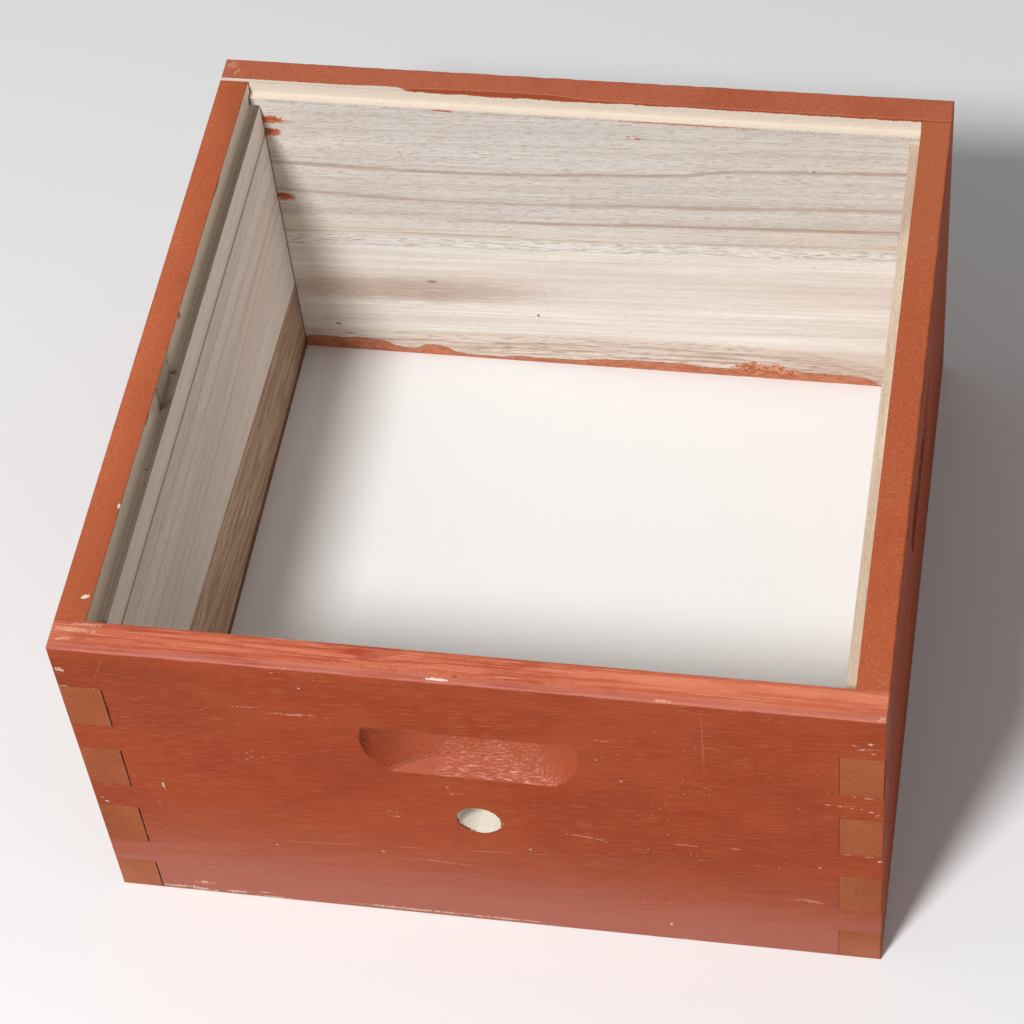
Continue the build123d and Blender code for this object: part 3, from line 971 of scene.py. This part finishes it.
scuffs = (
    (-89.0, 190.0, 10.0, 0.8, 4.0),
    (-115.0, 193.0, 7.0, 0.4, 5.0),
    (-166.0, 10.0, 5.0, 1.6, 0.0),
    (57.0, 98.2, 9.0, 0.5, -7.0),
    (64.0, 97.0, 4.0, 0.4, -20.0),
    (111.0, 99.5, 8.0, 0.5, -2.0),
    (137.0, 100.5, 3.0, 0.5, 0.0),
    (175.0, 55.0, 6.5, 1.0, -5.0),
    (71.0, 192.0, 5.0, 0.4, -2.0),
    (-14.0, 134.0, 0.9, 0.4, 90.0),
    (-12.5, 128.0, 1.0, 0.4, 90.0),
    (-24.0, 58.0, 12.0, 0.35, -3.0),
    (205.0, 206.0, 6.0, 0.5, 5.0),
)
scuffed = paint.marks(paint.wall_face, scuffs, 1.2)
paint.lay(paint.times(scuffed, 0.4), seen(214, 168, 150), 0.6)
faint_lines = ((-189.5, 216.0, 15.0, 0.35, 68.6), (123.0, 198.0, 26.0, 0.6, 90.0))
scratched = paint.marks(paint.wall_face, faint_lines, 1.0)
paint.lay(paint.times(scratched, 0.1), seen(214, 168, 150))
front_paint = paint.close(paint_gloss)

wood = bare_wood(
    "front_upper_bare", "x", front_tilt, seen(238, 229, 217), seen(222, 209, 196), seen(170, 152, 137), 120
)
front_growth = wood.times(growth(wood, 27.0, 8.0, 126), 0.4)
wood.lay(front_growth, seen(176, 156, 141))
paint_over_rim(wood, 1.0)

# The drill left rings in the flight hole, and paint ran over its lip on the left, dark red-brown there with
# painted shade over it.
from_axis = wood.distance(wood.wall_face, 0.0, hole_level, hole_radius, hole_radius)
in_hole = wood.fade(from_axis, 1.1, 1.05)
wood.lay(wood.times(in_hole, 0.7), seen(226, 218, 206))
drill_feed = wood.sway(wood.depth, wood.spots((7.0, 7.0, 7.0), 127), 2.0)
drill_rings = wood.fraction(wood.times(drill_feed, 1 / drill_pitch))
ring_lines = wood.times(in_hole, wood.fade(drill_rings, 0.4, 1.0, 0.0, 0.3))
wood.lay(ring_lines, seen(180, 163, 146))
lip_depth = wood.sway(wood.depth, wood.torn, 0.35)
lip_paint_and_shade = wood.times(in_hole, wood.fade(lip_depth, 2.2, 1.2))
left_of_hole = wood.fade(wood.x, 1.0, -5.0)
wood.lay(wood.times(lip_paint_and_shade, left_of_hole), seen(112, 54, 34), 0.6)


def torn_lip(x, y, z):
    """The drill tore the lip of the flight hole, mostly at the bottom."""
    on_lip = near(y, -half_depth) and abs(hypot(x, z - hole_level) - hole_radius) < 0.1
    return 0.0 if not on_lip else 1.0 if z < hole_level - 4 else 0.15


end_board("front", -1, "upper", front_paint, wood, torn_lip)
wood = bare_wood(
    "front_lower_bare", "x", front_tilt, seen(232, 218, 204), seen(212, 194, 176), seen(160, 138, 120), 130
)
front_growth = wood.times(growth(wood, 17.0, 6.0, 136), 0.4)
wood.lay(front_growth, seen(170, 146, 128))
paint_under_foot(wood, 4.0)
end_board("front", -1, "lower", front_paint, wood)


# Floor, light and camera: a plain pale floor that runs out into a pale backdrop, one large
# soft lamp in front and to the left with a dim sky above, and the camera where the
# photograph was taken from.
def seen_rays(tree):
    """Value that is 1 for rays from the camera, also by way of a reflection or through glass."""
    path = tree.nodes.new("ShaderNodeLightPath")
    indirect = tree.nodes.new("ShaderNodeMath")
    indirect.operation = "MAXIMUM"
    tree.links.new(path.outputs["Is Glossy Ray"], indirect.inputs[0])
    tree.links.new(path.outputs["Is Transmission Ray"], indirect.inputs[1])
    seen_ray = tree.nodes.new("ShaderNodeMath")
    seen_ray.operation = "MAXIMUM"
    tree.links.new(path.outputs["Is Camera Ray"], seen_ray.inputs[0])
    tree.links.new(indirect.outputs[0], seen_ray.inputs[1])
    return seen_ray.outputs[0]


floor_size = 12.0
backdrop_start = 1.0
backdrop_reach = 4.0
backdrop_level = 0.8
bpy.ops.mesh.primitive_plane_add(size=floor_size, location=(0, 0, 0))
floor = bpy.context.object
floor.name = "floor"
floor_finish = bpy.data.materials.new("pale_floor")
floor_finish.use_nodes = True
floor_shader = floor_finish.node_tree.nodes["Principled BSDF"]
floor_shader.inputs["Base Color"].default_value = (0.86, 0.86, 0.86, 1.0)
floor_shader.inputs["Roughness"].default_value = 0.9
floor_nodes = floor_finish.node_tree.nodes
floor_links = floor_finish.node_tree.links
floor_place = floor_nodes.new("ShaderNodeTexCoord")
from_middle = floor_nodes.new("ShaderNodeVectorMath")
from_middle.operation = "LENGTH"
far_off = floor_nodes.new("ShaderNodeMapRange")
far_off.interpolation_type = "SMOOTHSTEP"
far_off.inputs["From Min"].default_value = backdrop_start
far_off.inputs["From Max"].default_value = backdrop_reach
far_and_seen = floor_nodes.new("ShaderNodeMath")
far_and_seen.operation = "MULTIPLY"
backdrop = floor_nodes.new("ShaderNodeEmission")
backdrop.inputs["Strength"].default_value = backdrop_level
floor_and_backdrop = floor_nodes.new("ShaderNodeMixShader")
floor_links.new(floor_place.outputs["Object"], from_middle.inputs[0])
floor_links.new(from_middle.outputs["Value"], far_off.inputs["Value"])
floor_links.new(far_off.outputs[0], far_and_seen.inputs[0])
floor_links.new(seen_rays(floor_finish.node_tree), far_and_seen.inputs[1])
floor_links.new(far_and_seen.outputs[0], floor_and_backdrop.inputs[0])
floor_links.new(floor_shader.outputs[0], floor_and_backdrop.inputs[1])
floor_links.new(backdrop.outputs[0], floor_and_backdrop.inputs[2])
floor_links.new(floor_and_backdrop.outputs[0], floor_nodes["Material Output"].inputs["Surface"])
floor.data.materials.append(floor_finish)

lamp_size = 0.6
lamp_power = 100.0
lamp_place = Vector((-0.72, -2.0, 2.62))
lamp_target = Vector((0, 0, 0.12))
bpy.ops.object.light_add(type="AREA", location=lamp_place)
lamp = bpy.context.object
lamp.name = "soft_lamp"
lamp.data.shape = "DISK"
lamp.data.size = lamp_size
lamp.data.energy = lamp_power
lamp.rotation_euler = (lamp_target - lamp_place).to_track_quat("-Z", "Y").to_euler()

sky_at_horizon = 0.1
sky_overhead = 0.35
surround = bpy.data.worlds.new("studio")
surround.use_nodes = True
sky = surround.node_tree
sky_direction = sky.nodes.new("ShaderNodeTexCoord")
sky_height = sky.nodes.new("ShaderNodeSeparateXYZ")
sky_level = sky.nodes.new("ShaderNodeMapRange")
sky_level.inputs["To Min"].default_value = sky_at_horizon
sky_level.inputs["To Max"].default_value = sky_overhead
sky.links.new(sky_direction.outputs["Generated"], sky_height.inputs[0])
sky.links.new(sky_height.outputs["Z"], sky_level.inputs["Value"])
sky_or_backdrop = sky.nodes.new("ShaderNodeMix")
sky_or_backdrop.inputs["B"].default_value = backdrop_level
sky.links.new(seen_rays(sky), sky_or_backdrop.inputs["Factor"])
sky.links.new(sky_level.outputs[0], sky_or_backdrop.inputs["A"])
sky.links.new(sky_or_backdrop.outputs["Result"], sky.nodes["Background"].inputs["Strength"])
sky.nodes["Background"].inputs["Color"].default_value = (1.0, 1.0, 1.0, 1.0)
bpy.context.scene.world = surround

camera_heading = 15.0965
camera_tilt = 38.2827
camera_roll = -7.3609
camera_lens = 110.3126
camera_place = (0.27414, -1.08391, 1.51583)
bpy.ops.object.camera_add(location=camera_place)
camera = bpy.context.object
camera.name = "photo_camera"
camera.rotation_euler = (
    Matrix.Rotation(radians(camera_heading), 4, "Z")
    @ Matrix.Rotation(radians(camera_tilt), 4, "X")
    @ Matrix.Rotation(radians(camera_roll), 4, "Z")
).to_euler()
camera.data.sensor_width = 36.0
camera.data.lens = camera_lens
bpy.context.scene.camera = camera
bpy.context.scene.view_settings.view_transform = "Standard"
